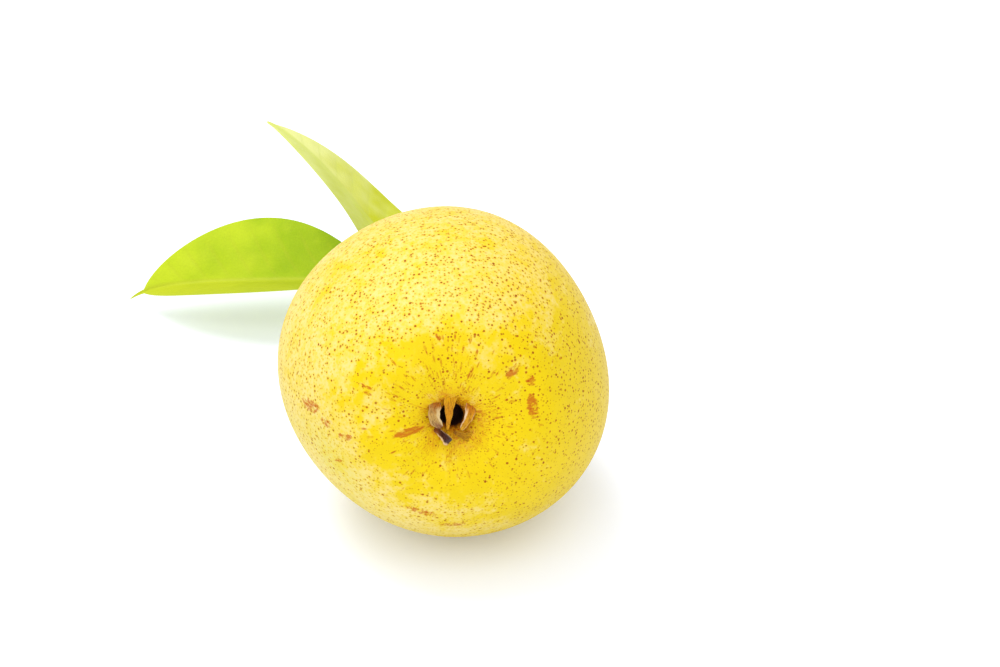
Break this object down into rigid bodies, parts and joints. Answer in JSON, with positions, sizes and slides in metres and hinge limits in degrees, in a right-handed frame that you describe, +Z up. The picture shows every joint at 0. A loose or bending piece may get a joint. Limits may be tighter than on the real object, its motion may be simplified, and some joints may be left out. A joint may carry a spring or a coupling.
{
  "type": "pear",
  "caption": "Ripe yellow pear lying on its side, with a woody stem, a spur stub, green leaves and a dried calyx.",
  "frame": {"origin": "centre of the small flat that the pear rests on, close below its centre of mass", "axes": "+Z up; the calyx end looks towards -Y and a little upwards, the stem points towards +Y, and the leaves lie towards -X"},
  "size_m": [0.1195, 0.1634, 0.0742],
  "materials": {
    "skin": "smooth waxy yellow fruit skin with fine russet dots",
    "bark": "dry brown bark",
    "leaf": "satin yellow-green leaf",
    "dry_calyx": "dry papery brown"
  },
  "bodies": {
    "root": {"pear_body": "skin", "stem": "bark", "spur_stub": "bark", "leaf_low": "leaf", "leaf_high": "leaf", "sepal_1": "dry_calyx", "sepal_2": "dry_calyx", "sepal_3": "dry_calyx", "sepal_4": "dry_calyx", "sepal_5": "dry_calyx"}
  },
  "joints": []
}
